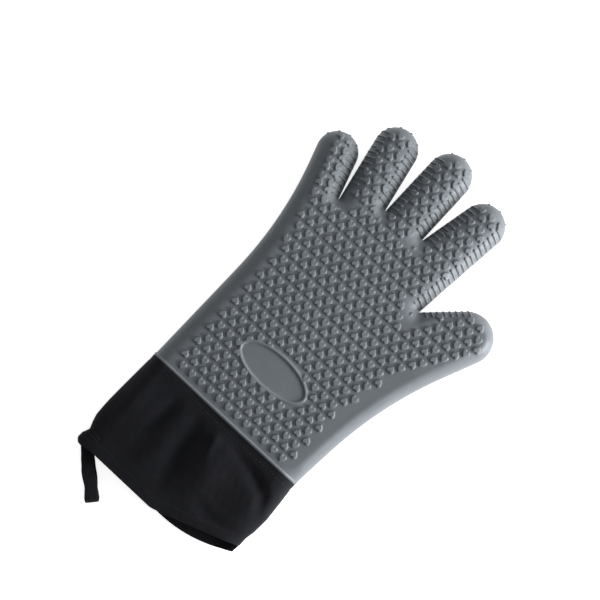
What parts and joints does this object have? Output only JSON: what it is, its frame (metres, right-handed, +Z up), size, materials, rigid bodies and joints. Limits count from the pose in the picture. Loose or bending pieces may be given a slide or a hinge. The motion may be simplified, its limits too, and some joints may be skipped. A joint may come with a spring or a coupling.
{
  "type": "oven glove",
  "caption": "Five-finger silicone oven glove with raised heart grip pattern, black fabric cuff and hanging loop.",
  "frame": {"origin": "on the flat underside, on the hand's centre line, where the cuff meets the silicone", "axes": "+X to the thumb side, +Y to the fingertips, +Z up through the palm side as the glove lies on a table"},
  "size_m": [0.1954, 0.3686, 0.0288],
  "materials": {
    "silicone": "satin",
    "liner_cotton": "quilted cotton",
    "twill": "cotton twill",
    "lining_cotton": "plain weave",
    "thread": "sewing thread",
    "tape": "woven tape"
  },
  "bodies": {
    "palm": {"silicone_palm": "silicone", "liner_palm": "liner_cotton", "cuff_front_panel": "twill", "cuff_back_panel": "twill", "cuff_front_hem": "twill", "cuff_back_hem": "twill", "cuff_lining": "lining_cotton", "cuff_left_seam": "twill", "cuff_right_seam": "twill", "cuff_edge_stitches": "thread", "cuff_hem_stitches": "thread", "loop_bartack": "thread", "loop_ends": "tape"},
    "pinky_base": {"silicone_pinky_base": "silicone", "liner_pinky_base": "liner_cotton"},
    "pinky_tip": {"silicone_pinky_tip": "silicone", "liner_pinky_tip": "liner_cotton"},
    "ring_base": {"silicone_ring_base": "silicone", "liner_ring_base": "liner_cotton"},
    "ring_tip": {"silicone_ring_tip": "silicone", "liner_ring_tip": "liner_cotton"},
    "middle_base": {"silicone_middle_base": "silicone", "liner_middle_base": "liner_cotton"},
    "middle_tip": {"silicone_middle_tip": "silicone", "liner_middle_tip": "liner_cotton"},
    "index_base": {"silicone_index_base": "silicone", "liner_index_base": "liner_cotton"},
    "index_tip": {"silicone_index_tip": "silicone", "liner_index_tip": "liner_cotton"},
    "thumb_base": {"silicone_thumb_base": "silicone", "liner_thumb_base": "liner_cotton"},
    "thumb_tip": {"silicone_thumb_tip": "silicone", "liner_thumb_tip": "liner_cotton"},
    "hanging_loop": {"loop_tape": "tape"}
  },
  "joints": [
    {"name": "pinky_knuckle", "type": "hinge", "parent": "palm", "child": "pinky_base", "pos_m": [-0.06564, 0.17864, 0.02], "axis": [0.9494, 0.3139, 0], "range_deg": [0, 60], "stiffness_Nm_per_rad": 0.06},
    {"name": "pinky_middle_bend", "type": "hinge", "parent": "pinky_base", "child": "pinky_tip", "pos_m": [-0.07176, 0.19716, 0.02], "axis": [0.9494, 0.3139, 0], "range_deg": [0, 65], "stiffness_Nm_per_rad": 0.06},
    {"name": "ring_knuckle", "type": "hinge", "parent": "palm", "child": "ring_base", "pos_m": [-0.03665, 0.20134, 0.02], "axis": [0.9795, 0.2014, 0], "range_deg": [0, 60], "stiffness_Nm_per_rad": 0.06},
    {"name": "ring_middle_bend", "type": "hinge", "parent": "ring_base", "child": "ring_tip", "pos_m": [-0.04148, 0.22485, 0.02], "axis": [0.9795, 0.2014, 0], "range_deg": [0, 65], "stiffness_Nm_per_rad": 0.06},
    {"name": "middle_knuckle", "type": "hinge", "parent": "palm", "child": "middle_base", "pos_m": [-0.0006, 0.205, 0.02], "axis": [1, 0.0028, 0], "range_deg": [0, 60], "stiffness_Nm_per_rad": 0.06},
    {"name": "middle_middle_bend", "type": "hinge", "parent": "middle_base", "child": "middle_tip", "pos_m": [-0.00067, 0.231, 0.02], "axis": [1, 0.0028, 0], "range_deg": [0, 65], "stiffness_Nm_per_rad": 0.06},
    {"name": "index_knuckle", "type": "hinge", "parent": "palm", "child": "index_base", "pos_m": [0.03726, 0.20357, 0.02], "axis": [0.9876, -0.157, 0], "range_deg": [0, 60], "stiffness_Nm_per_rad": 0.06},
    {"name": "index_middle_bend", "type": "hinge", "parent": "index_base", "child": "index_tip", "pos_m": [0.04103, 0.22727, 0.02], "axis": [0.9876, -0.157, 0], "range_deg": [0, 65], "stiffness_Nm_per_rad": 0.06},
    {"name": "thumb_knuckle", "type": "hinge", "parent": "palm", "child": "thumb_base", "pos_m": [0.07682, 0.14749, 0.02], "axis": [0.8241, -0.5665, 0], "range_deg": [0, 40], "stiffness_Nm_per_rad": 0.06},
    {"name": "thumb_middle_bend", "type": "hinge", "parent": "thumb_base", "child": "thumb_tip", "pos_m": [0.08815, 0.16397, 0.02], "axis": [0.8241, -0.5665, 0], "range_deg": [0, 50], "stiffness_Nm_per_rad": 0.06},
    {"name": "loop_swing", "type": "hinge", "parent": "palm", "child": "hanging_loop", "pos_m": [-0.0561, -0.0844, 0.0038], "axis": [0, 0, 1], "range_deg": [-95, 15]}
  ]
}
